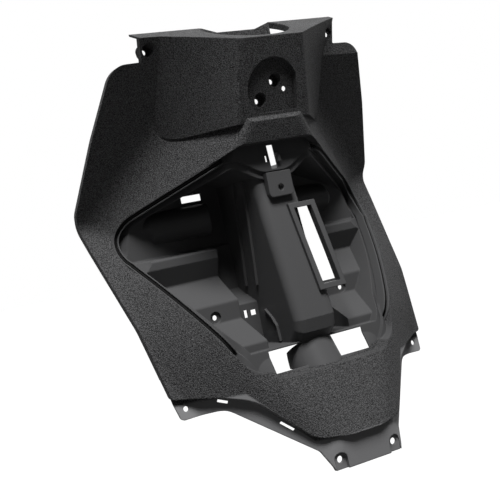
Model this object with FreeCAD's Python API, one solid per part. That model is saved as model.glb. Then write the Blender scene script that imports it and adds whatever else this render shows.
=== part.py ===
"""Scooter leg shield: one thin-walled moulding, drawn along Y.

Frame, in millimetres: +X to the right of someone who faces the rider's side, +Y away from the rider,
+Z up. The origin is midway between the two lower side fixing holes.
"""
import FreeCAD, Part
import math
import os

Vector = FreeCAD.Vector

# Walls and edges
WALL = 2.5                     # skin, measured square to the surface
RETURN_DEPTH = 10.0            # turned-back edge of the skin, measured along Y
TUB_WALL = 2.2                 # ledges, storage tub and tunnel

# Front skin, as planes y = base + across * (|x| - at_x) + up * (z - at_z)
WING = dict(base=100.0, at_x=226.6, at_z=264.0, across=0.093, up=-0.592)
SHOULDER = dict(base=-40.0, at_x=56.0, at_z=302.0, across=1.16, up=0.31)
CHIN = dict(base=-42.5, at_x=0.0, at_z=304.0, across=0.0, up=-0.34)
EAR_FOOT_Z = 412.0             # the ear plane acts above this height, the upper chin plane below it
CHIN_TOP = dict(base=-51.0, at_x=0.0, at_z=330.5, across=0.0, up=0.6, top_z=EAR_FOOT_Z)
EAR = dict(base=0.0, at_x=137.0, at_z=440.0, across=0.1, up=-0.15)
FLANK = dict(base=-42.0, at_x=124.5, at_z=45.0, across=0.78, up=0.1)
FLANK_SWEEP = 0.0023           # curl of the flank above its at_z, per mm
NOSE = dict(base=-76.0, at_x=0.0, at_z=15.0, across=0.0, up=0.52)
SIDE_LOW = dict(base=20.2, at_x=201.4, at_z=73.0, across=0.2, up=0.3)
SIDE_HIGH = dict(base=91.0, at_x=221.0, at_z=206.0, across=0.2, up=0.56)

# Rounding between those planes
WING_R = 40.0                  # wing to shoulder
CHIN_R = 15.0                  # shoulder to chin
NOSE_R = 60.0                  # flank to nose
SIDE_R = 60.0                  # lower to upper side
FLANK_R = 30.0                 # flank to side
KNEE_R = 20.0                  # upper to lower half

# Lower skirt, one step behind the skin
SKIRT_FLANK = dict(base=-33.0, at_x=124.5, at_z=0.0, across=0.78, up=0.175)
SKIRT_SIDE = dict(base=26.7, at_x=201.4, at_z=73.0, across=0.2, up=0.3)
SKIRT_NOSE = dict(base=-70.0, at_x=0.0, at_z=15.0, across=0.0, up=0.52)
TONGUE = dict(base=-111.0, at_x=0.0, at_z=0.0, across=0.0, up=0.0)
TONGUE_R = 25.0
SKIRT_TOP_Z = 40.0

# Working space for the solids that get trimmed
REACH_X = 300.0
REACH_Z = (-160.0, 540.0)
NOSE_FOOT_Z = -76.0
FAR = 600.0

# Steering column cover
COLUMN_FOOT_Z = 329.4
COLUMN_TOP_Z = 500.0
COLUMN_HALF = 53.4             # half width of its front face at the foot
COLUMN_TAPER = -0.0803         # change of that half width with height
COLUMN_FRONT_Y = -45.9
COLUMN_LEAN = -0.335
COLUMN_FLANK = 1.33            # slope of its flanks at the foot
COLUMN_FLANK_TURN = -0.0039    # change of that slope with height
COLUMN_EDGE_R = 8.0
TOP_EDGE = (-79.7, 428.5)      # y and z where the top meets the column's front face
TOP_RISE = 0.42                # rise of the top towards the back
TOP_BACK_Y = 7.0
EAR_REACH = 160.0
NECK_R = 57.5                  # steering neck notch in the top
NECK_Y = -18.0
NECK_LIP = 8.0
NECK_DEPTH = 45.0              # reach of the notch above and below the top
NECK_BRIDGE = [(51.0, 464.5), (28.0, 457.0), (-28.0, 457.0), (-51.0, 464.5), (-51.0, 443.0), (51.0, 443.0)]

# Outlines in the front view: x, z and corner radius, right half from the top down
PANEL_EDGE = [
    (152.5, 486.0, 0.0), (144.5, 427.3, 1.5), (183.0, 427.0, 24.0), (208.6, 347.0, 200.0),
    (230.0, 262.0, 26.0), (223.0, 212.0, 120.0), (205.6, 105.0, 300.0), (192.6, 14.5, 5.0),
    (141.0, 6.5, 12.0), (111.0, -4.0, 40.0), (62.0, -60.5, 26.0), (20.0, -64.6, 60.0)]
COLUMN_EDGE = [
    (152.5, 486.0, 0.0), (144.5, 427.3, 0.0), (131.0, 400.0, 40.0), (131.0, COLUMN_FOOT_Z, 45.0)]
SKIRT_EDGE = [
    (193.5, 40.0, 0.0), (190.5, 8.0, 6.0), (186.5, -13.0, 5.0), (136.0, -10.0, 22.0),
    (59.0, -77.5, 8.0), (48.5, -103.5, 2.5)]
KITE_EDGE = [
    (52.0, 304.5, 14.0), (211.6, 227.8, 48.0), (105.0, 27.0, 40.0), (40.0, 16.5, 60.0)]
RIM_EDGE = [
    (22.0, 258.5, 40.0), (57.0, 280.5, 14.0), (199.1, 219.3, 42.0), (80.0, 24.0, 18.0)]
LEDGE_WIDTH = 9.0              # from the outer groove edge to the rim

LEDGE_DROP = 18.0              # outer ledge behind the skin, along Y
GROOVE_DROP = 4.5              # rim behind the outer ledge
LATCH_PLATE = dict(base=-42.2, at_x=0.0, at_z=270.5, across=0.0, up=0.092)

# Storage tub, seen from the side: y and z of its back wall, from the top down
TUB_TOP = 330.0
TUB_BACK_Y = 90.0
TUB_BACK = [
    (62.0, 184.0, 3.0), (62.0, 172.0, 3.0), (74.0, 146.0, 3.0),
    (30.0, 114.0, 5.0), (30.0, 88.5, 3.0), (-27.0, 60.0, 4.0)]
TUB_FLOOR_Z = 49.0
TUB_CORE_HALF = 62.0           # half width of the deep middle of the tub
TUB_CORE_Y = 84.0
TUB_CORE_LOW_Y = 40.0          # its depth at the foot
TUB_CORE_STEP = (125.0, 105.0)
DRAIN_HALF = 71.0              # opening across the foot of the tub, below its floor
DRAIN_FOOT_Z = 19.0
HORN_R = 21.5                  # rounded bulge on each side of the tub
HORN_INNER = (57.0, 82.0, 225.0)
HORN_OUTER = (134.0, 99.0, 225.0)
HORN_CAP = 16.0                # length of its tapered outer end
HORN_TIP = 0.45                # share of the radius left at the tip

# Tunnel over the steering tube, seen from the side
TUNNEL_HALF = 30.0
TUNNEL_TOP = (-15.1, 268.0)
TUNNEL_FOOT = (-58.5, 64.0)
TUNNEL_TUCK = (-42.0, 49.0)
TUNNEL_FOOT_FLAT = (12.0, 8.0)  # set-backs of the flat that eases the foot's corner
TUNNEL_EDGE_R = 13.0
TUNNEL_BACK_Y = 100.0
COLLAR_R = 34.0
COLLAR_TOP = (-44.0, 52.0)
COLLAR_FOOT = (-74.0, 4.0)
COLLAR_DEPTH = 26.0

# Screw boss on the tunnel
BOSS_HALF = 18.0
BOSS_Z = (234.0, 266.0)
BOSS_Y = -30.0
BOSS_EDGE_R = 5.0
BOSS_HOLE_Z = 245.0
BOSS_HOLE_R = 4.3

# Window in the tunnel, right of its middle
WINDOW_TOP = (25.0, 215.5)     # x and z of the middle of its upper edge
WINDOW_FOOT = (33.0, 114.0)
WINDOW_HALF = 13.0
WINDOW_FRAME = 7.0
WINDOW_PROUD = 5.0
WINDOW_DEPTH = 6.0
PASSAGE_TURN = 0.54            # the clear space behind the window runs to the right as it goes back
PASSAGE_GROW = 3.0

# Holes
EAR_HOLE = (136.9, 440.0)
SIDE_HOLE = (177.3, 0.0)
TONGUE_HOLE = (39.9, -91.2)
SHELF_HOLE = (98.6, 97.0)
FIXING_R = 3.4
FIXING_SEAT_R = 7.5
SEAT_DEPTH = 3.0
TONGUE_HOLE_R = 4.2
TONGUE_SEAT_R = 8.5
TONGUE_SEAT_DEPTH = 4.5

# Lock recess in the column cover
LOCK_R = 36.8
LOCK_Z = 367.0
LOCK_RIGHT = 34.0
LOCK_FOOT_Z = 339.5
LOCK_DEPTH = 7.0
LOCK_CUPS = [(6.5, 377.6), (-15.4, 356.3)]
LOCK_CUP_R = 8.3
LOCK_CUP_DEPTH = 11.0
LOCK_PIN_HOLE = (19.6, 366.2)
LOCK_PIN_R = 3.2

# Latch, slots and ribs; slots and ribs as left, right, lower and upper edge
LATCH_SLOT = (-5.0, 4.5, 270.0, 301.0)
SPRING_SLOT = (-11.0, -8.0, 280.0, 288.0)
LATCH_TAB = (2.0, 9.0, 278.0, 290.0)
LATCH_TAB_Y = (-28.5, -21.0)
BACK_SLOTS = [(-86.0, -56.0, 251.5, 260.5), (-52.0, -47.0, 86.5, 96.5), (-42.0, -34.0, 88.0, 95.0),
              (-45.0, -37.0, 57.0, 62.0)]
BACK_SLOT_Y = (32.0, 100.0)
TUNNEL_RIBS = [                # y and z along each rib on the tunnel's left side
    [(36.0, 262.0), (56.0, 126.0)], [(8.0, 262.0), (26.0, 126.0)],
    [(18.0, 94.0), (4.0, 83.0), (-5.0, 72.0), (-7.0, 51.0)]]
TUNNEL_RIB_X = (-33.5, -29.0)
RIB_THICK = 2.4
EDGE_SLOTS = [((142.5, 2.5), (132.0, -2.0)), ((88.5, -35.5), (77.0, -47.5))]
EDGE_SLOT_HALF = 1.6


def plane_y(plane, x, z):
    """Depth of one of the skin's planes at a place in the front view."""
    return plane["base"] + plane["across"] * (abs(x) - plane["at_x"]) + plane["up"] * (z - plane["at_z"])


def normal_shift(plane, wall):
    """Shift along Y that moves a plane by a wall square to itself."""
    return wall * math.sqrt(1 + plane["across"] ** 2 + plane["up"] ** 2)


def half_space(plane, side=1, wall=0.0):
    """Everything behind a plane; side -1 mirrors it."""
    points = []
    for x, z in ((-REACH_X, REACH_Z[0]), (REACH_X, REACH_Z[0]), (REACH_X, REACH_Z[1]), (-REACH_X, REACH_Z[1])):
        y = plane["base"] + plane["across"] * (side * x - plane["at_x"]) + plane["up"] * (z - plane["at_z"])
        points.append(Vector(x, y + normal_shift(plane, wall), z))
    face = Part.Face(Part.makePolygon(points + points[:1]))
    return face.extrude(Vector(0, FAR, 0))


def wedge(plane, wall=0.0):
    """Everything behind a plane and its mirror image."""
    return half_space(plane, 1, wall).common(half_space(plane, -1, wall))


def flank_wedge(wall=0.0):
    """Everything behind the two flanks, which curl back above their reference height."""
    low, high = REACH_Z
    knot = FLANK["at_z"]
    shift = normal_shift(FLANK, wall)
    poles = []
    for z in (low, (low + knot) / 2, (knot + high) / 2, high):
        poles.append(Vector(0, plane_y(FLANK, 0, z) + shift, z))
    poles[3].y += FLANK_SWEEP * (high - knot) ** 2
    curve = Part.BSplineCurve()
    curve.buildFromPolesMultsKnots(poles, [3, 1, 3], [low, knot, high], False, 2)
    solids = []
    for side in (1, -1):
        run = Vector(2 * REACH_X, side * 2 * REACH_X * FLANK["across"], 0)
        face = curve.toShape().extrude(run)
        face.translate(run * -0.5)
        solids.append(face.extrude(Vector(0, FAR, 0)))
    return solids[0].common(solids[1])


def middle(edge):
    return edge.valueAt((edge.FirstParameter + edge.LastParameter) / 2)


def edges_within(shape, low, high):
    """Edges whose middle lies in a range of |x|, y and z, and that end inside the working space."""
    found = []
    for edge in shape.Edges:
        m = middle(edge)
        inside = low[0] < abs(m.x) < high[0] and low[1] < m.y < high[1] and low[2] < m.z < high[2]
        if inside and min(abs(v.Point.x) for v in edge.Vertexes) < REACH_X - 1:
            found.append(edge)
    return found


def steep(edges, drop):
    """Those edges that climb more than a given height."""
    return [e for e in edges if abs(e.Vertexes[0].Point.z - e.Vertexes[-1].Point.z) > drop]


def upper_skin(wall, chins):
    """Wings, shoulders and chin."""
    body = wedge(SHOULDER, wall).fuse(wedge(WING, wall))
    body = body.makeFillet(WING_R + wall, edges_within(body, (20, -100, 240), (200, 130, 500)))
    for plane in chins:
        front = half_space(plane, 1, wall)
        if "top_z" in plane:
            front = front.fuse(box(-REACH_X, REACH_X, -FAR, 2 * FAR, plane["top_z"], REACH_Z[1]))
        body = body.common(front)
    ridges = steep(edges_within(body, (20, -100, 0), (190, 90, 331)), 100)
    body = body.makeFillet(CHIN_R - wall, ridges)
    brow = box(-REACH_X, REACH_X, -FAR, FAR, EAR_FOOT_Z, 2 * FAR)
    return body.cut(brow.cut(half_space(EAR, 1, wall)))


def lower_skin(wall):
    """Flanks, nose and sides."""
    floor = Part.makeBox(2 * REACH_X, 3 * REACH_X, 380, Vector(-REACH_X, -REACH_X, NOSE_FOOT_Z))
    flank = flank_wedge(wall).common(half_space(NOSE, 1, wall)).common(floor)
    ridges = steep(edges_within(flank, (20, -200, -70), (200, 150, 300)), 200)
    flank = flank.makeFillet(NOSE_R - wall, ridges)
    side = wedge(SIDE_LOW, wall).common(wedge(SIDE_HIGH, wall))
    ridges = edges_within(side, (100, -100, 60), (200, 100, 140))
    side = side.makeFillet(SIDE_R - wall, ridges).common(floor)
    body = flank.fuse(side)
    return body.makeFillet(FLANK_R + wall, edges_within(body, (140, -60, -70), (215, 150, 290)))


def skin_solid(wall=0.0, chins=(CHIN, CHIN_TOP)):
    """Everything behind the front skin, or behind its back face when a wall is given."""
    body = upper_skin(wall, chins).fuse(lower_skin(wall))
    return body.makeFillet(KNEE_R + wall, knee_edges(body))


def knee_edges(body):
    """Valley between the upper and the lower half, outside the storage opening."""
    found = []
    for edge in edges_within(body, (150, 40, 190), (REACH_X, 150, 262)):
        heights = [v.Point.z for v in edge.Vertexes]
        if min(heights) > 140 and max(heights) < 262:
            found.append(edge)
    return found


def skirt_solid(wall=0.0):
    """Everything behind the lower skirt and its flat tongue."""
    body = wedge(SKIRT_FLANK, wall).common(half_space(SKIRT_NOSE, 1, wall)).common(half_space(TONGUE, 1, wall))
    ridges = steep(edges_within(body, (20, -130, -150), (70, -90, -60)), 20)
    body = body.makeFillet(TONGUE_R - wall, ridges)
    body = body.fuse(wedge(SKIRT_SIDE, wall))
    valleys = [e for e in edges_within(body, (120, -60, -150), (220, 60, 200))
               if min(v.Point.z for v in e.Vertexes) < REACH_Z[0] + 1]
    body = body.makeFillet(FLANK_R + wall, valleys)
    low, high = REACH_Z[0], SKIRT_TOP_Z
    return body.common(Part.makeBox(2 * REACH_X, 3 * REACH_X, high - low, Vector(-REACH_X, -REACH_X, low)))


def moved(shape, y):
    """Copy of a shape, moved along Y."""
    copy = shape.copy()
    copy.translate(Vector(0, y, 0))
    return copy


def rounded_wire(corners, place):
    """Closed wire of straight runs and tangent arcs; place turns (a, b) into a point."""
    count = len(corners)
    starts = []
    ends = []
    mids = []
    for i, (a, b, radius) in enumerate(corners):
        pa, pb, _ = corners[i - 1]
        na, nb, _ = corners[(i + 1) % count]
        ua, ub = pa - a, pb - b
        va, vb = na - a, nb - b
        lu, lv = math.hypot(ua, ub), math.hypot(va, vb)
        ua, ub, va, vb = ua / lu, ub / lu, va / lv, vb / lv
        half = 0.5 * math.acos(max(-1.0, min(1.0, ua * va + ub * vb)))
        if radius <= 0 or half > math.pi / 2 - 0.005:
            starts.append((a, b))
            ends.append((a, b))
            mids.append(None)
            continue
        reach = min(radius / math.tan(half), 0.47 * lu, 0.47 * lv)
        radius = reach * math.tan(half)
        wa, wb = ua + va, ub + vb
        lw = math.hypot(wa, wb)
        far = radius / math.sin(half) - radius
        starts.append((a + ua * reach, b + ub * reach))
        ends.append((a + va * reach, b + vb * reach))
        mids.append((a + wa / lw * far, b + wb / lw * far))
    edges = []
    for i in range(count):
        if mids[i] is not None:
            edges.append(Part.Arc(place(*starts[i]), place(*mids[i]), place(*ends[i])).toShape())
        a, b = ends[i], starts[(i + 1) % count]
        if math.hypot(a[0] - b[0], a[1] - b[1]) > 1e-6:
            edges.append(Part.LineSegment(place(*a), place(*b)).toShape())
    return Part.Wire(edges)


def front_place(x, z):
    return Vector(x, 0, z)


def side_place(y, z):
    return Vector(0, y, z)


def mirrored(half):
    """Whole outline from its right half, listed from the top down."""
    left = [(-x, z, radius) for x, z, radius in reversed(half)]
    return half + left


def front_wire(corners, grow=0.0):
    wire = rounded_wire(corners, front_place)
    if grow:
        wire = wire.makeOffset2D(grow)
    return wire


def front_prism(wire, y0=-FAR / 2, y1=FAR / 2):
    """Solid along Y over an outline in the front view."""
    face = Part.Face(wire)
    face.translate(Vector(0, y0, 0))
    return face.extrude(Vector(0, y1 - y0, 0))


def side_prism(corners, x0, x1, grow=0.0):
    """Solid along X over an outline in the side view."""
    wire = rounded_wire([(c + (0.0,))[:3] for c in corners], side_place)
    if grow:
        wire = wire.makeOffset2D(grow, 2)
    face = Part.Face(wire)
    face.translate(Vector(x0, 0, 0))
    return face.extrude(Vector(x1 - x0, 0, 0))


def box(x0, x1, y0, y1, z0, z1):
    return Part.makeBox(x1 - x0, y1 - y0, z1 - z0, Vector(x0, y0, z0))


def column_wire(z, inset):
    """Section of the column cover at a height, set in by a wall if wanted."""
    rise = z - COLUMN_FOOT_Z
    half = COLUMN_HALF + COLUMN_TAPER * rise
    front = COLUMN_FRONT_Y + COLUMN_LEAN * rise
    slope = COLUMN_FLANK + COLUMN_FLANK_TURN * rise
    front_shift = inset * math.sqrt(1 + COLUMN_LEAN ** 2)
    flank_shift = inset * math.sqrt(1 + slope ** 2 + COLUMN_LEAN ** 2)
    corner = half - (flank_shift - front_shift) / slope
    reach = 190.0
    back = front + flank_shift + slope * (reach - half)
    edge_r = COLUMN_EDGE_R if inset == 0 else 0.0
    points = [(-reach, back, 0.0), (-corner, front + front_shift, edge_r), (corner, front + front_shift, edge_r),
              (reach, back, 0.0), (reach, FAR, 0.0), (-reach, FAR, 0.0)]
    return rounded_wire(points, lambda x, y: Vector(x, y, z))


def column_solid(inset, foot):
    """Column cover down to a foot height."""
    return Part.makeLoft([column_wire(foot, inset), column_wire(COLUMN_TOP_Z, inset)], True, True)


def top_z(y, drop=0.0):
    return TOP_EDGE[1] + TOP_RISE * (y - TOP_EDGE[0]) - drop * math.sqrt(1 + TOP_RISE ** 2)


def top_slab(upper, lower):
    """Slab along the sloping top, between two depths below it."""
    reach = 300.0
    corners = [(-reach, top_z(-reach, upper)), (reach, top_z(reach, upper)),
               (reach, top_z(reach, lower)), (-reach, top_z(-reach, lower))]
    return side_prism(corners, -reach, reach)


def stage(name, shape):
    print(name, "solids", len(shape.Solids), "valid", shape.isValid(), "volume", round(shape.Volume))
    return shape


def top_cylinder(radius):
    """Cylinder square to the sloping top, about the steering neck."""
    lean = Vector(0, -TOP_RISE, 1)
    lean.normalize()
    foot = Vector(0, NECK_Y, top_z(NECK_Y)) - lean * NECK_DEPTH
    return Part.makeCylinder(radius, 2 * NECK_DEPTH, foot, lean)


def tunnel_y(z):
    """Front of the tunnel at a height."""
    share = (z - TUNNEL_FOOT[1]) / (TUNNEL_TOP[1] - TUNNEL_FOOT[1])
    return TUNNEL_FOOT[0] + share * (TUNNEL_TOP[0] - TUNNEL_FOOT[0])


def toward(start, end, distance):
    """Point at a distance from one point towards another."""
    length = math.hypot(end[0] - start[0], end[1] - start[1])
    return tuple(a + (b - a) * distance / length for a, b in zip(start, end))


def tunnel_solid(inset):
    """Ridge over the steering tube, or the hollow inside it."""
    above, below = TUNNEL_FOOT_FLAT
    corners = [TUNNEL_TOP + (0.0,), toward(TUNNEL_FOOT, TUNNEL_TOP, above) + (0.0,),
               toward(TUNNEL_FOOT, TUNNEL_TUCK, below) + (0.0,), TUNNEL_TUCK + (0.0,),
               (TUNNEL_BACK_Y, TUNNEL_TUCK[1], 0.0), (TUNNEL_BACK_Y, TUNNEL_TOP[1], 0.0)]
    half = TUNNEL_HALF - inset
    if inset:
        corners = corners[:4] + [(FAR, c[1], 0.0) for c in corners[4:]]
    body = side_prism(corners, -half, half, -inset)
    ridges = []
    for edge in body.Edges:
        ends = [v.Point for v in edge.Vertexes]
        on_side = all(abs(abs(p.x) - half) < 1e-6 for p in ends)
        if on_side and all(p.y < 0 for p in ends) and abs(ends[0].z - ends[1].z) > 1.0:
            ridges.append(edge)
    return body.makeFillet(TUNNEL_EDGE_R - inset, ridges)


def horn_solid(side, inset):
    """Rounded bulge with a flat inner end."""
    inner = Vector(side * (HORN_INNER[0] + inset), HORN_INNER[1], HORN_INNER[2])
    outer = Vector(side * HORN_OUTER[0], HORN_OUTER[1], HORN_OUTER[2])
    radius = HORN_R - inset
    run = outer - inner
    body = Part.makeCylinder(radius, run.Length, inner, run)
    return body.fuse(Part.makeCone(radius, radius * HORN_TIP, HORN_CAP - inset, outer, run))


def tub_air(inset):
    """Air inside the storage tub; with an inset it reaches one wall further."""
    rim = front_wire(mirrored(RIM_EDGE), inset)
    stairs = [(-FAR, TUB_TOP, 0.0), (TUB_BACK_Y, TUB_TOP, 0.0), (TUB_BACK_Y, TUB_BACK[0][1] + 2.0, 3.0)]
    stairs += TUB_BACK + [(TUB_BACK[-1][0], TUB_FLOOR_Z, 0.0), (-FAR, TUB_FLOOR_Z, 0.0)]
    depth = side_prism(stairs, -REACH_X, REACH_X, inset)
    step_high, step_low = TUB_CORE_STEP
    well = [(-FAR, TUB_TOP), (TUB_CORE_Y, TUB_TOP), (TUB_CORE_Y, step_high), (TUB_CORE_LOW_Y, step_low),
            (TUB_CORE_LOW_Y, TUB_FLOOR_Z), (-FAR, TUB_FLOOR_Z)]
    core = side_prism(well, -TUB_CORE_HALF - inset, TUB_CORE_HALF + inset, inset)
    return front_prism(rim).common(depth.fuse(core))


def frame_air(ledge, inset):
    """Air in front of the stepped frame and inside the tub."""
    kite = front_wire(mirrored(KITE_EDGE), inset)
    groove = front_wire(mirrored(RIM_EDGE), LEDGE_WIDTH + inset)
    air = front_prism(kite).cut(moved(ledge, LEDGE_DROP + inset))
    step = front_prism(groove).cut(moved(ledge, LEDGE_DROP + GROOVE_DROP + inset))
    air = air.multiFuse([step, tub_air(inset)])
    return air.cut([tunnel_solid(inset), horn_solid(-1, inset), horn_solid(1, inset)])


def window_corners(grow):
    """Corners of the slanting window, grown by a border."""
    top_x, top_z_mid = WINDOW_TOP
    foot_x, foot_z = WINDOW_FOOT
    half = WINDOW_HALF + grow
    return [(top_x + half, top_z_mid + grow, 0.0), (foot_x + half, foot_z - grow, 0.0),
            (foot_x - half, foot_z - grow, 0.0), (top_x - half, top_z_mid + grow, 0.0)]


def tunnel_band(front, back, low, high):
    """Solid between two depths that follow the tunnel's front."""
    corners = [(tunnel_y(low) + front, low), (tunnel_y(high) + front, high),
               (tunnel_y(high) + back, high), (tunnel_y(low) + back, low)]
    return side_prism(corners, -REACH_X, REACH_X)


def window_parts():
    """Raised frame round the window, and the cuts for its opening and the space behind it."""
    low, high = WINDOW_FOOT[1] - 20, WINDOW_TOP[1] + 20
    outer = front_prism(front_wire(window_corners(WINDOW_FRAME)))
    opening = front_prism(front_wire(window_corners(0.0)))
    border = outer.common(tunnel_band(-WINDOW_PROUD, WINDOW_DEPTH, low, high)).cut(opening)
    under = front_prism(front_wire(window_corners(WINDOW_FRAME - TUB_WALL)))
    under = under.cut(front_prism(front_wire(window_corners(TUB_WALL))))
    under = under.common(tunnel_band(TUB_WALL - WINDOW_PROUD, WINDOW_DEPTH + 10, low, high))
    border = border.cut(under)
    face = Part.Face(front_wire(window_corners(PASSAGE_GROW)))
    start = tunnel_y(WINDOW_FOOT[1])
    face.translate(Vector(0, start, 0))
    passage = face.extrude(Vector(PASSAGE_TURN, 1, 0) * 200)
    passage = passage.common(tunnel_band(WINDOW_DEPTH, 250, low, high))
    return border, [opening.common(tunnel_band(-40, WINDOW_DEPTH, low, high)), passage, under]


def boss_part():
    """Screw boss near the top of the tunnel."""
    boss = box(-BOSS_HALF, BOSS_HALF, BOSS_Y, tunnel_y(BOSS_Z[0]) + 1, BOSS_Z[0], BOSS_Z[1])
    corners = []
    for edge in boss.Edges:
        ends = [v.Point for v in edge.Vertexes]
        if all(abs(p.z - BOSS_Z[0]) < 1e-6 for p in ends) and abs(ends[0].y - ends[1].y) > 1:
            corners.append(edge)
    return boss.makeFillet(BOSS_EDGE_R, corners)


def y_cylinder(x, z, radius, y0, y1):
    return Part.makeCylinder(radius, y1 - y0, Vector(x, y0, z), Vector(0, 1, 0))


def collar_part():
    """Half-round collar below the tunnel, standing in the opening at the foot of the tub."""
    top = Vector(0, COLLAR_TOP[0], COLLAR_TOP[1])
    foot = Vector(0, COLLAR_FOOT[0], COLLAR_FOOT[1])
    run = foot - top
    back = Vector(0, -run.z, run.y)
    back.normalize()
    start = top + back * COLLAR_R
    ring = Part.makeCylinder(COLLAR_R, run.Length, start, run)
    ring = ring.cut(Part.makeCylinder(COLLAR_R - TUB_WALL, run.Length, start, run))
    reach = box(-COLLAR_R - 5, COLLAR_R + 5, -150, COLLAR_TOP[0] + COLLAR_DEPTH,
                DRAIN_FOOT_Z - 4, TUB_FLOOR_Z + 3)
    return ring.common(reach)


def cup(x, z, radius, y_front, y_seat, hole):
    """Round sunk seat for a screw head: its wall, and the cuts for seat and hole."""
    wall = y_cylinder(x, z, radius + TUB_WALL, y_front, y_seat + TUB_WALL)
    seat = y_cylinder(x, z, radius, y_front - 25, y_seat)
    return wall, [seat.fuse(y_cylinder(x, z, hole, y_seat - 1, y_seat + TUB_WALL + 1))]


def column_y(z):
    return COLUMN_FRONT_Y + COLUMN_LEAN * (z - COLUMN_FOOT_Z)


def column_band(front, back):
    """Solid between two depths behind the column's front."""
    low, high = COLUMN_FOOT_Z - 10, COLUMN_FOOT_Z + 100
    corners = [(column_y(low) + front, low), (column_y(high) + front, high),
               (column_y(high) + back, high), (column_y(low) + back, low)]
    return side_prism(corners, -REACH_X, REACH_X)


def lock_outline(grow):
    """Round recess with a squared lower right corner."""
    disc = y_cylinder(0, LOCK_Z, LOCK_R + grow, -FAR / 2, FAR / 2)
    corner = box(0, LOCK_RIGHT + grow, -FAR / 2, FAR / 2, LOCK_FOOT_Z - grow, LOCK_Z)
    keep = box(-LOCK_R - 10, LOCK_RIGHT + grow, -FAR / 2, FAR / 2, LOCK_FOOT_Z - grow, LOCK_Z + LOCK_R + 10)
    return disc.fuse(corner).common(keep)


def lock_parts():
    """Recess in the column cover with two sunk screw seats: walls and cuts."""
    walls = [lock_outline(TUB_WALL).common(column_band(0.5, LOCK_DEPTH + TUB_WALL))]
    cuts = [lock_outline(0.0).common(column_band(-20, LOCK_DEPTH))]
    for x, z in LOCK_CUPS:
        floor = column_y(z) + LOCK_DEPTH
        wall, holes = cup(x, z, LOCK_CUP_R, floor, floor + LOCK_CUP_DEPTH, FIXING_R)
        walls.append(wall)
        cuts += holes
    x, z = LOCK_PIN_HOLE
    cuts.append(y_cylinder(x, z, LOCK_PIN_R, column_y(z), column_y(z) + 30))
    return walls, cuts


def fixing_parts():
    """Screw seats of the ears, the side tabs, the tub and the tongue: walls and cuts."""
    walls = []
    cuts = []
    for side in (-1, 1):
        x, z = SIDE_HOLE
        cuts.append(y_cylinder(side * x, z, FIXING_R, -20, 20))
        for (x, z), seat in ((EAR_HOLE, SEAT_DEPTH), (SHELF_HOLE, TUB_BACK[3][0] + SEAT_DEPTH)):
            wall, holes = cup(side * x, z, FIXING_SEAT_R, seat - SEAT_DEPTH, seat, FIXING_R)
            walls.append(wall)
            cuts += holes
        wall, holes = tongue_seat(side)
        walls.append(wall)
        cuts += holes
    return walls, cuts


def tongue_seat(side):
    """Sunk seat in the tongue, open at its lower edge."""
    x, z = TONGUE_HOLE
    foot = SKIRT_EDGE[-1][1]
    seat = TONGUE["base"] + TONGUE_SEAT_DEPTH
    wide = TONGUE_SEAT_R + TUB_WALL
    outer = y_cylinder(side * x, z, wide, TONGUE["base"] + 1, seat + WALL)
    outer = outer.fuse(box(side * x - wide, side * x + wide, TONGUE["base"] + 1, seat + WALL, foot, z))
    inner = y_cylinder(side * x, z, TONGUE_SEAT_R, TONGUE["base"] - 20, seat)
    inner = inner.fuse(box(side * x - TONGUE_SEAT_R, side * x + TONGUE_SEAT_R, TONGUE["base"] - 20, seat, foot - 5, z))
    hole = y_cylinder(side * x, z, TONGUE_HOLE_R, seat - 1, seat + WALL + 1)
    return outer, [inner.fuse(hole)]


def slot(edges, y0, y1):
    x0, x1, z0, z1 = edges
    return box(x0, x1, y0, y1, z0, z1)


def tunnel_rib(path):
    """Thin rib on the tunnel's left side."""
    back = [(y + RIB_THICK, z) for y, z in reversed(path)]
    return side_prism(path + back, *TUNNEL_RIB_X)


def edge_slot(side, start, end):
    """Slot in the skirt, beside the panel's lower edge."""
    (x0, z0), (x1, z1) = start, end
    length = math.hypot(x1 - x0, z1 - z0)
    half_x = EDGE_SLOT_HALF * (z0 - z1) / length
    half_z = EDGE_SLOT_HALF * (x1 - x0) / length
    corners = [(x0 + half_x, z0 + half_z), (x1 + half_x, z1 + half_z),
               (x1 - half_x, z1 - half_z), (x0 - half_x, z0 - half_z)]
    return front_prism(front_wire([(side * x, z, 0.0) for x, z in corners]))


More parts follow.
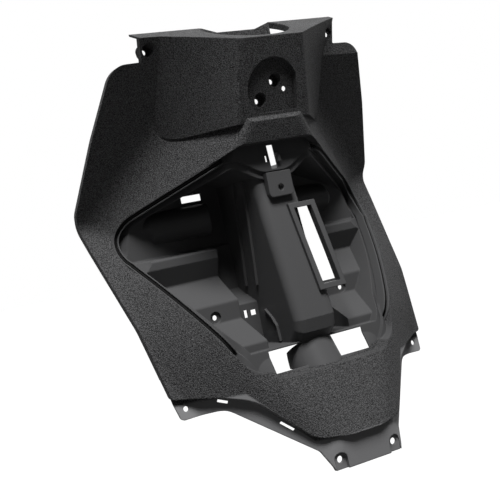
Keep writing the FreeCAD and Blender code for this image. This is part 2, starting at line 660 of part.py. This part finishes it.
def build():
    skin = stage("skin", skin_solid())
    skin_back = stage("skin back", skin_solid(WALL))
    ledge = stage("ledge", skin_solid(0.0, (LATCH_PLATE,)))
    skirt = stage("skirt", skirt_solid())
    skirt_back = stage("skirt back", skirt_solid(WALL))

    panel = front_wire(mirrored(PANEL_EDGE))
    panel_in = front_wire(mirrored(PANEL_EDGE), -WALL)
    column_wall = front_wire(mirrored(COLUMN_EDGE))
    column_hollow = front_prism(front_wire(mirrored(COLUMN_EDGE), -WALL))
    skirt_wire = front_wire(mirrored(SKIRT_EDGE))
    top_keep = box(-EAR_REACH, EAR_REACH, -FAR, TOP_BACK_Y, 0, FAR)

    border, window_cuts = window_parts()
    boss = boss_part()
    collar = collar_part()
    lock_walls, lock_cuts = lock_parts()
    fixing_walls, fixing_cuts = fixing_parts()
    raised = [border, boss, collar, slot(LATCH_TAB, *LATCH_TAB_Y)]
    raised += [tunnel_rib(path) for path in TUNNEL_RIBS]

    panel_body = front_prism(panel).common(skin)
    column_body = column_solid(0.0, COLUMN_FOOT_Z).common(front_prism(column_wall))
    skirt_body = front_prism(skirt_wire).common(skirt)
    body = panel_body.multiFuse([column_body, skirt_body, tunnel_solid(0.0)]).cut(top_slab(-200.0, 0.0))
    body = stage("body", body.multiFuse(raised))

    plate = top_slab(0.0, WALL).common(top_keep)
    lip = top_slab(0.0, NECK_LIP).common(top_cylinder(NECK_R + TUB_WALL)).common(top_keep)
    bridge = front_prism(Part.makePolygon([Vector(x, 0, z) for x, z in NECK_BRIDGE + NECK_BRIDGE[:1]]),
                         TOP_BACK_Y - WALL, TOP_BACK_Y)
    column_in = column_solid(WALL, COLUMN_FOOT_Z).common(column_hollow)
    deep = moved(skin, RETURN_DEPTH).common(box(-REACH_X, REACH_X, -REACH_X, 3 * REACH_X, SKIRT_TOP_Z, REACH_Z[1]))
    core = front_prism(panel_in).common(skin_back.fuse(column_in))
    core = core.multiFuse([deep, skirt_back, tunnel_solid(TUB_WALL)])
    core = stage("core", core.cut([frame_air(ledge, TUB_WALL), plate, lip, bridge] + lock_walls + fixing_walls + raised))

    air = frame_air(ledge, 0.0).cut(raised)
    drain = box(-DRAIN_HALF, DRAIN_HALF, -FAR / 2, FAR / 2, DRAIN_FOOT_Z, TUB_FLOOR_Z - TUB_WALL).cut(collar)
    notch = top_cylinder(NECK_R).cut(bridge)
    slots = [slot(LATCH_SLOT, -FAR / 2, 0), slot(SPRING_SLOT, -30, 0),
             y_cylinder(0.0, BOSS_HOLE_Z, BOSS_HOLE_R, -60, 20)]
    slots += [slot(edges, *BACK_SLOT_Y) for edges in BACK_SLOTS]
    slots += [edge_slot(side, start, end) for side in (-1, 1) for start, end in EDGE_SLOTS]
    shield = body.cut([core, air, drain, notch] + window_cuts + slots + lock_cuts + fixing_cuts)
    return stage("shield", shield)


if __name__ == "__main__":
    os.makedirs("parts", exist_ok=True)
    shield = build()
    shield.exportStep("parts/leg_shield.step")
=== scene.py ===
"""Scooter leg shield in matte black moulded plastic, upright above a plain white floor."""
import math

import bmesh
import bpy
from mathutils import Matrix, Vector
from mathutils.bvhtree import BVHTree


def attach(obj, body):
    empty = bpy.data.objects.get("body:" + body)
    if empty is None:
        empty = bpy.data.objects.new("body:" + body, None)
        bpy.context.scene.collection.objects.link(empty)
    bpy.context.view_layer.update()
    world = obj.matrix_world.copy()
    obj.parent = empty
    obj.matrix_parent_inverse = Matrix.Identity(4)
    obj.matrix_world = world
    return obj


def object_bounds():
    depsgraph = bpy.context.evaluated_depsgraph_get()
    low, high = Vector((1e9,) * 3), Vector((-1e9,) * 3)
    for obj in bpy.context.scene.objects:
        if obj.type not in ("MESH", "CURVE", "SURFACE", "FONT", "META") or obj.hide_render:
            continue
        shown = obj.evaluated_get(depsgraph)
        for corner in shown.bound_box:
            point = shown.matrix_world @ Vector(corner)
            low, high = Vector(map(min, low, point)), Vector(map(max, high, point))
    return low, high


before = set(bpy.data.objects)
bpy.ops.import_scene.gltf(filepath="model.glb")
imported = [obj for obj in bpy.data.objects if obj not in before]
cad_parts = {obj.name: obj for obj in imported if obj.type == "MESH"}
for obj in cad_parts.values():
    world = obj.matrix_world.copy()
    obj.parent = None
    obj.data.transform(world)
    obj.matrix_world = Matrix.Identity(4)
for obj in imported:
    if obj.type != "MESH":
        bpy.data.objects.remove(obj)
built_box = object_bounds()

# Colours, in linear light
BLACK = (0.052, 0.052, 0.053)
# near-black strip colour that paints the shade at the bottom of the trim's groove
GROOVE_SHADE_COLOUR = (0.006, 0.006, 0.006, 1)
FLOOR_GREY = (0.06, 0.06, 0.06, 1)
WHITE = (1.0, 1.0, 1.0, 1)

# Plastic; strength and roughness are for the grained panel and for the smooth parts
GRAIN_SCALE = 760.0
CELL_SCALE = 650.0
WEAR_SCALE = 9.0
GRAIN_DEPTH = 0.0008
GRAIN_STRENGTH = (0.7, 0.1)
ROUGHNESS = (0.5, 0.36)
UNEVEN_GLOSS = 0.08            # most that wear adds to the roughness
SPECULAR = 0.03
EDGE_R = 0.0018                # radius by which the shader rounds the look of the edges
SPECK_RANGE = (0.37, 0.63)     # noise at the darkest and the lightest speck
SPECK_TINT = (0.15, 1.95)      # shares of the colour there
INSIDE_PAINTED_LIGHT = 1.35             # share of the colour inside the storage opening, raised there as painted light
SKIRT_PAINTED_SHEEN = 4.0               # and on the lower skirt, raised there as a painted sheen

NOISE_RANGE = (0.3, 0.7)       # usual lowest and highest value of a noise

# Strip at the bottom of the trim's groove, near-black as painted shade, with a fine grain and a dull gloss
RUBBER_SCALE = 1400.0
RUBBER_DEPTH = 0.0002
RUBBER_STRENGTH = 0.4
RUBBER_ROUGHNESS = (0.6, 0.8)
RUBBER_SPECULAR = 0.04

# Storage opening in the front view, right half: x and z of its corners, in metres
OPENING_TOP = (0.052, 0.3045)
OPENING_SIDE = (0.2116, 0.2278)
OPENING_FOOT = (0.105, 0.027)
OPENING_LOW = (0.04, 0.0165)
OPENING_R = 0.048              # rounding of the side corner
OPENING_MIDDLE = (0.0, 0.16)
OPENING_FADE = (-0.0005, 0.001)  # distances inside its edge over which the grain ends

# Slope of the panel's lower edge, from the nose to the flank
PANEL_FOOT = [(0.061, -0.0625), (0.118, 0.0075)]
SKIRT_FADE = 0.003             # height over which the grain ends there

# Trim round the opening; a profile point is the distance in from the edge and the depth behind the panel
TRIM_TOP = (0.066, 0.2978)
TRIM_FOOT = (0.1147, 0.0452)
TRIM_STEPS = 24                # points along each run and round the corner
TRIM_PROBES = (0.0015, 0.0035)  # distances outside the edge at which the panel's depth is taken
TRIM_EVEN = 2                  # neighbours on each side that even out a depth
TRIM_SINK = 0.012              # how far the ends dip behind the panel
TRIM_SINK_STEPS = 6
GUTTER = [(-0.0003, 0.0180), (-0.0003, 0.0002), (0.0002, -0.0005), (0.0011, -0.0005), (0.0016, 0.0002),
          (0.0018, 0.0052), (0.0062, 0.0052), (0.0064, 0.0010), (0.0068, 0.0004), (0.0078, 0.0004),
          (0.0082, 0.0010), (0.0084, 0.0180)]
# profile of the near-black strip that paints the shade at the bottom of the groove
SHADE_STRIP = [(0.0017, 0.0056), (0.0019, 0.0036), (0.0031, 0.0028), (0.0049, 0.0028), (0.0061, 0.0036),
        (0.0063, 0.0056)]

# Sunk screw seats of the ears
EAR_HOLE = (0.1369, 0.44)
SEAT_R = 0.0074
SEAT_OUT_R = 0.0096
SEAT_FLOOR = 0.0032
SEAT_OVERLAP = 0.001           # how far the wall goes into the floor
SEAT_SET_BACK = 0.0004         # how far its rim stays behind the ear's front
SEAT_PROBES = (0.0003, 0.0018)  # distances outside the wall at which the ear's depth is taken
SEAT_STEPS = 48

# Camera, in metres
CAMERA_AT = (-0.65495, -1.12869, 0.20347)
CAMERA_RIGHT = (0.8605, -0.4692, -0.1983)
CAMERA_DOWN = (-0.1853, 0.0743, -0.9799)
CAMERA_LENS = 72.0

# Studio, in metres and watts
FLOOR_SIZE = 30.0
FLOOR_DROP = 0.25              # the part is shown above the floor
FLOOR_ROUGHNESS = 0.9
WORLD_GLOW = 0.01              # what the world lends to matte surfaces
FLOOR_GLOW = 0.97              # the rest of its white comes from the lamps, so a shadow still shows
LAMP_TARGET = (0, 0, 0.2)
KEY = dict(place=(-0.3, -1.15, 2.5), width=1.3, height=1.0, power=125.0)
FILL = dict(place=(-1.9, -1.0, 0.9), width=0.9, height=0.9, power=0.8)


def node_of(tree, kind, **values):
    """New shader node with its properties and unlinked inputs set."""
    node = tree.nodes.new(kind)
    for name, value in values.items():
        if hasattr(node, name) and name not in node.inputs:
            setattr(node, name, value)
        else:
            node.inputs[name.replace("_", " ")].default_value = value
    return node


def math_of(tree, operation, *values):
    """Result of a math node on linked values or numbers."""
    node = node_of(tree, "ShaderNodeMath", operation=operation)
    for socket, value in zip(node.inputs, values):
        if isinstance(value, (int, float)):
            socket.default_value = value
        else:
            tree.links.new(value, socket)
    return node.outputs[0]


def straight_blend(tree, value, source, target):
    """Straight blend of a value from one range to another, held at the ends."""
    step = node_of(tree, "ShaderNodeMapRange", From_Min=source[0], From_Max=source[1],
                   To_Min=target[0], To_Max=target[1])
    tree.links.new(value, step.inputs["Value"])
    return step.outputs["Result"]


def by_share(tree, share, low, high):
    """Value that goes from low to high with a share from 0 to 1."""
    return straight_blend(tree, share, (0.0, 1.0), (low, high))


def along_line(tree, value, start, end):
    """Second coordinate of a line where its first one is the value."""
    return straight_blend(tree, value, (start[0], end[0]), (start[1], end[1]))


def front_view(tree, place):
    """Distance from the middle and height of a place in the front view."""
    parts = node_of(tree, "ShaderNodeSeparateXYZ")
    tree.links.new(place, parts.inputs[0])
    return math_of(tree, "ABSOLUTE", parts.outputs["X"]), parts.outputs["Z"]


def skirt_share(tree, place):
    """1 on the smooth lower skirt, 0 on the grained panel above its lower edge."""
    across, height = front_view(tree, place)
    below = math_of(tree, "SUBTRACT", along_line(tree, across, *PANEL_FOOT), height)
    return straight_blend(tree, below, (0.0, SKIRT_FADE), (0.0, 1.0))


def opening_share(tree, place):
    """1 inside the storage opening with its rounded side corner, 0 on the grained panel round it."""
    across, height = front_view(tree, place)
    squares = []
    for start, end, first, second in ((OPENING_TOP, OPENING_SIDE, across, height),
                                      (OPENING_FOOT[::-1], OPENING_SIDE[::-1], height, across)):
        gap = math_of(tree, "SUBTRACT", along_line(tree, first, start, end), second)
        run = Vector(end) - Vector(start)
        square_gap = math_of(tree, "MULTIPLY", gap, run.x / run.length)
        short = math_of(tree, "MAXIMUM", math_of(tree, "SUBTRACT", OPENING_R, square_gap), 0.0)
        squares.append(math_of(tree, "MULTIPLY", short, short))
    from_centre = math_of(tree, "SQRT", math_of(tree, "ADD", *squares))
    above = math_of(tree, "SUBTRACT", height, along_line(tree, across, OPENING_LOW, OPENING_FOOT))
    inside = math_of(tree, "MINIMUM", math_of(tree, "SUBTRACT", OPENING_R, from_centre), above)
    return straight_blend(tree, inside, OPENING_FADE, (0.0, 1.0))


def grained_plastic():
    """Black plastic: raised grain on the panel, smoother on the skirt and inside, slightly uneven gloss; a
    lighter colour paints a sheen on the skirt and paints light inside the opening.
    """
    material = bpy.data.materials.new("shield_plastic")
    material.use_nodes = True
    tree = material.node_tree
    tree.nodes.clear()
    links = tree.links
    place = node_of(tree, "ShaderNodeTexCoord").outputs["Object"]

    grain = node_of(tree, "ShaderNodeTexNoise", Scale=GRAIN_SCALE, Detail=3.0, Roughness=0.7)
    cells = node_of(tree, "ShaderNodeTexVoronoi", Scale=CELL_SCALE)
    wear = node_of(tree, "ShaderNodeTexNoise", Scale=WEAR_SCALE, Detail=4.0)
    for texture in (grain, cells, wear):
        links.new(place, texture.inputs["Vector"])
    skirt = skirt_share(tree, place)
    inside = opening_share(tree, place)
    smooth = math_of(tree, "MAXIMUM", skirt, inside)

    soft_edges = node_of(tree, "ShaderNodeBevel", samples=6, Radius=EDGE_R)
    bump = node_of(tree, "ShaderNodeBump", Distance=GRAIN_DEPTH)
    links.new(soft_edges.outputs["Normal"], bump.inputs["Normal"])
    links.new(math_of(tree, "ADD", grain.outputs["Fac"], cells.outputs["Distance"]), bump.inputs["Height"])
    links.new(by_share(tree, smooth, *GRAIN_STRENGTH), bump.inputs["Strength"])

    specks = straight_blend(tree, grain.outputs["Fac"], SPECK_RANGE, SPECK_TINT)
    panel_light = math_of(tree, "MULTIPLY", specks, by_share(tree, smooth, 1.0, 0.0))
    # painted sheen on the skirt and painted light inside the opening: the colour is made lighter there
    painted_sheen_and_light = math_of(tree, "MAXIMUM", by_share(tree, skirt, 0.0, SKIRT_PAINTED_SHEEN),
                           by_share(tree, inside, 0.0, INSIDE_PAINTED_LIGHT))
    tint = node_of(tree, "ShaderNodeVectorMath", operation="SCALE")
    tint.inputs[0].default_value = BLACK
    links.new(math_of(tree, "ADD", panel_light, painted_sheen_and_light), tint.inputs["Scale"])

    uneven = straight_blend(tree, wear.outputs["Fac"], NOISE_RANGE, (0.0, UNEVEN_GLOSS))
    gloss = math_of(tree, "ADD", uneven, by_share(tree, smooth, *ROUGHNESS))

    surface = node_of(tree, "ShaderNodeBsdfPrincipled")
    surface.inputs["Specular IOR Level"].default_value = SPECULAR
    links.new(tint.outputs[0], surface.inputs["Base Color"])
    links.new(gloss, surface.inputs["Roughness"])
    links.new(bump.outputs["Normal"], surface.inputs["Normal"])
    output = node_of(tree, "ShaderNodeOutputMaterial")
    links.new(surface.outputs["BSDF"], output.inputs["Surface"])
    return material


def groove_shade_finish():
    """Near-black finish with a fine grain, for the strip that paints the shade in the trim's groove."""
    material = bpy.data.materials.new("groove_shade_finish")
    material.use_nodes = True
    tree = material.node_tree
    links = tree.links
    surface = tree.nodes["Principled BSDF"]
    surface.inputs["Base Color"].default_value = GROOVE_SHADE_COLOUR
    surface.inputs["Specular IOR Level"].default_value = RUBBER_SPECULAR
    grain = node_of(tree, "ShaderNodeTexNoise", Scale=RUBBER_SCALE, Detail=2.0)
    links.new(node_of(tree, "ShaderNodeTexCoord").outputs["Object"], grain.inputs["Vector"])
    bump = node_of(tree, "ShaderNodeBump", Distance=RUBBER_DEPTH, Strength=RUBBER_STRENGTH)
    links.new(grain.outputs["Fac"], bump.inputs["Height"])
    links.new(bump.outputs["Normal"], surface.inputs["Normal"])
    gloss = straight_blend(tree, grain.outputs["Fac"], NOISE_RANGE, RUBBER_ROUGHNESS)
    links.new(gloss, surface.inputs["Roughness"])
    return material


def front_depth(surface, place):
    """Depth of the shield's front at a place in the front view, or None beside the shield."""
    spot = surface.ray_cast(Vector((place.x, -1.0, place.y)), Vector((0, 1, 0)))[0]
    return None if spot is None else spot.y


def opening_run(side):
    """Points and inward directions along one half of the storage opening, in the front view."""
    start, corner, end = (Vector((side * x, z)) for x, z in (TRIM_TOP, OPENING_SIDE, TRIM_FOOT))
    to_start, to_end = (start - corner).normalized(), (end - corner).normalized()
    half = to_start.angle(to_end) / 2
    reach = OPENING_R / math.tan(half)
    centre = corner + (to_start + to_end).normalized() * OPENING_R / math.sin(half)
    first, last = corner + to_start * reach, corner + to_end * reach
    shares = [i / TRIM_STEPS for i in range(TRIM_STEPS)]
    points = [start.lerp(first, share) for share in shares]
    points += [centre + (first - centre).slerp(last - centre, share).normalized() * OPENING_R
               for share in shares]
    points += [last.lerp(end, share) for share in shares + [1.0]]
    inward = []
    for i, point in enumerate(points):
        along = points[min(i + 1, len(points) - 1)] - points[max(i - 1, 0)]
        across = Vector((along.y, -along.x)).normalized()
        if across.dot(Vector(OPENING_MIDDLE) - point) < 0:
            across.negate()
        inward.append(across)
    return points, inward


def trim_depths(surface, points, inward):
    """Depth of the panel carried on to the opening's edge, evened out along the run."""
    near, far = TRIM_PROBES
    depths = []
    for point, across in zip(points, inward):
        at_near, at_far = (front_depth(surface, point - across * out) for out in TRIM_PROBES)
        depths.append(at_near + (at_near - at_far) * near / (far - near))
    even = []
    for i in range(len(depths)):
        group = depths[max(i - TRIM_EVEN, 0):i + TRIM_EVEN + 1]
        even.append(sum(group) / len(group))
    for i in range(TRIM_SINK_STEPS):
        sink = TRIM_SINK * (1 - i / TRIM_SINK_STEPS) ** 2
        even[i] += sink
        even[-1 - i] += sink
    return even


def ring_faces(rings, count, closed):
    """Faces between neighbouring rings that have count corners each."""
    faces = []
    for i in range(rings if closed else rings - 1):
        here, there = i * count, (i + 1) % rings * count
        for j in range(count):
            k = (j + 1) % count
            faces.append((here + j, there + j, there + k, here + k))
    return faces


def add_piece(name, corners, faces, material):
    """Closed mesh as a piece that rides on the shield."""
    mesh = bpy.data.meshes.new(name)
    mesh.from_pydata(corners, [], faces)
    work = bmesh.new()
    work.from_mesh(mesh)
    bmesh.ops.recalc_face_normals(work, faces=work.faces)
    work.to_mesh(mesh)
    work.free()
    piece = bpy.data.objects.new(name, mesh)
    bpy.context.collection.objects.link(piece)
    mesh.materials.append(material)
    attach(piece, "root")


def trim(name, surface, side, profile, material):
    """Moulded strip with a closed profile, swept along one half of the storage opening."""
    points, inward = opening_run(side)
    depths = trim_depths(surface, points, inward)
    rings, count = len(points), len(profile)
    corners = []
    for point, across, depth in zip(points, inward, depths):
        for offset, drop in profile:
            spot = point + across * offset
            corners.append((spot.x, depth + drop, spot.y))
    faces = ring_faces(rings, count, False)
    faces += [tuple(range(count)), tuple(range((rings - 1) * count, rings * count))]
    add_piece(name, corners, faces, material)


def seat_rim(depths, radius):
    """Depth of the seat wall's rim at a radius, carried on from the ear's front outside it."""
    if None in depths:
        return SEAT_FLOOR
    near, far = SEAT_PROBES
    slope = (depths[0] - depths[1]) / (far - near)
    return min(depths[0] + slope * (SEAT_OUT_R + near - radius) + SEAT_SET_BACK, SEAT_FLOOR)


def ear_seat(name, surface, side, material):
    """Round wall that joins the sloping ear to the floor of its sunk screw seat."""
    centre = Vector((side * EAR_HOLE[0], EAR_HOLE[1]))
    base = SEAT_FLOOR + SEAT_OVERLAP
    corners = []
    for i in range(SEAT_STEPS):
        angle = 2 * math.pi * i / SEAT_STEPS
        out = Vector((math.cos(angle), math.sin(angle)))
        depths = [front_depth(surface, centre + out * (SEAT_OUT_R + probe)) for probe in SEAT_PROBES]
        profile = [(SEAT_R, seat_rim(depths, SEAT_R)), (SEAT_OUT_R, seat_rim(depths, SEAT_OUT_R)),
                   (SEAT_OUT_R, base), (SEAT_R, base)]
        for radius, depth in profile:
            spot = centre + out * radius
            corners.append((spot.x, depth, spot.y))
    add_piece(name, corners, ring_faces(SEAT_STEPS, 4, True), material)


def seen_rays(tree):
    """1 for rays that show the background itself: camera, mirror and see-through rays."""
    path = node_of(tree, "ShaderNodeLightPath")
    seen = math_of(tree, "MAXIMUM", path.outputs["Is Camera Ray"], path.outputs["Is Glossy Ray"])
    return math_of(tree, "MAXIMUM", seen, path.outputs["Is Transmission Ray"])


def studio():
    """White floor and world."""
    floor_height = built_box[0][2] - FLOOR_DROP
    bpy.ops.mesh.primitive_plane_add(size=FLOOR_SIZE, location=(0, 0, floor_height))
    floor = bpy.context.object
    floor.name = "floor"
    material = bpy.data.materials.new("floor_white")
    material.use_nodes = True
    tree = material.node_tree
    surface = tree.nodes["Principled BSDF"]
    surface.inputs["Base Color"].default_value = FLOOR_GREY
    surface.inputs["Roughness"].default_value = FLOOR_ROUGHNESS
    surface.inputs["Emission Color"].default_value = WHITE
    glow = math_of(tree, "MULTIPLY", seen_rays(tree), FLOOR_GLOW)
    tree.links.new(glow, surface.inputs["Emission Strength"])
    floor.data.materials.append(material)

    world = bpy.data.worlds.new("studio")
    bpy.context.scene.world = world
    world.use_nodes = True
    tree = world.node_tree
    back = tree.nodes["Background"]
    back.inputs["Color"].default_value = WHITE
    tree.links.new(by_share(tree, seen_rays(tree), WORLD_GLOW, 1.0), back.inputs["Strength"])


def lamp(name, place, width, height, power):
    """Soft rectangular lamp that faces the part."""
    data = bpy.data.lights.new(name, "AREA")
    data.shape = "RECTANGLE"
    data.size = width
    data.size_y = height
    data.energy = power
    lamp_object = bpy.data.objects.new(name, data)
    bpy.context.collection.objects.link(lamp_object)
    lamp_object.location = place
    lamp_object.rotation_mode = "QUATERNION"
    lamp_object.rotation_quaternion = (Vector(LAMP_TARGET) - Vector(place)).to_track_quat("-Z", "Y")


def camera():
    """Camera at the photograph's angle, slightly tilted."""
    right, up = Vector(CAMERA_RIGHT), -Vector(CAMERA_DOWN)
    turn = Matrix((right, up, right.cross(up))).transposed().to_4x4()
    data = bpy.data.cameras.new("camera")
    data.lens = CAMERA_LENS
    camera_object = bpy.data.objects.new("camera", data)
    bpy.context.collection.objects.link(camera_object)
    camera_object.matrix_world = Matrix.Translation(CAMERA_AT) @ turn
    bpy.context.scene.camera = camera_object


bpy.context.scene.view_settings.view_transform = "Standard"

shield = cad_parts["leg_shield"]
plastic = grained_plastic()
# near-black finish for the strip that paints the shade in the trim's groove
shade_strip_material = groove_shade_finish()
shield.material_slots[0].material = plastic

bpy.context.view_layer.update()
spots = [shield.matrix_world @ vertex.co for vertex in shield.data.vertices]
shield_surface = BVHTree.FromPolygons(spots, [tuple(face.vertices) for face in shield.data.polygons])
for side, name in ((-1, "left"), (1, "right")):
    trim("opening_gutter_" + name, shield_surface, side, GUTTER, plastic)
    # near-black strip at the groove's bottom: painted shade
    trim("opening_shade_strip_" + name, shield_surface, side, SHADE_STRIP, shade_strip_material)
    ear_seat("ear_seat_" + name, shield_surface, side, plastic)

studio()
lamp("key", **KEY)
lamp("fill", **FILL)
camera()
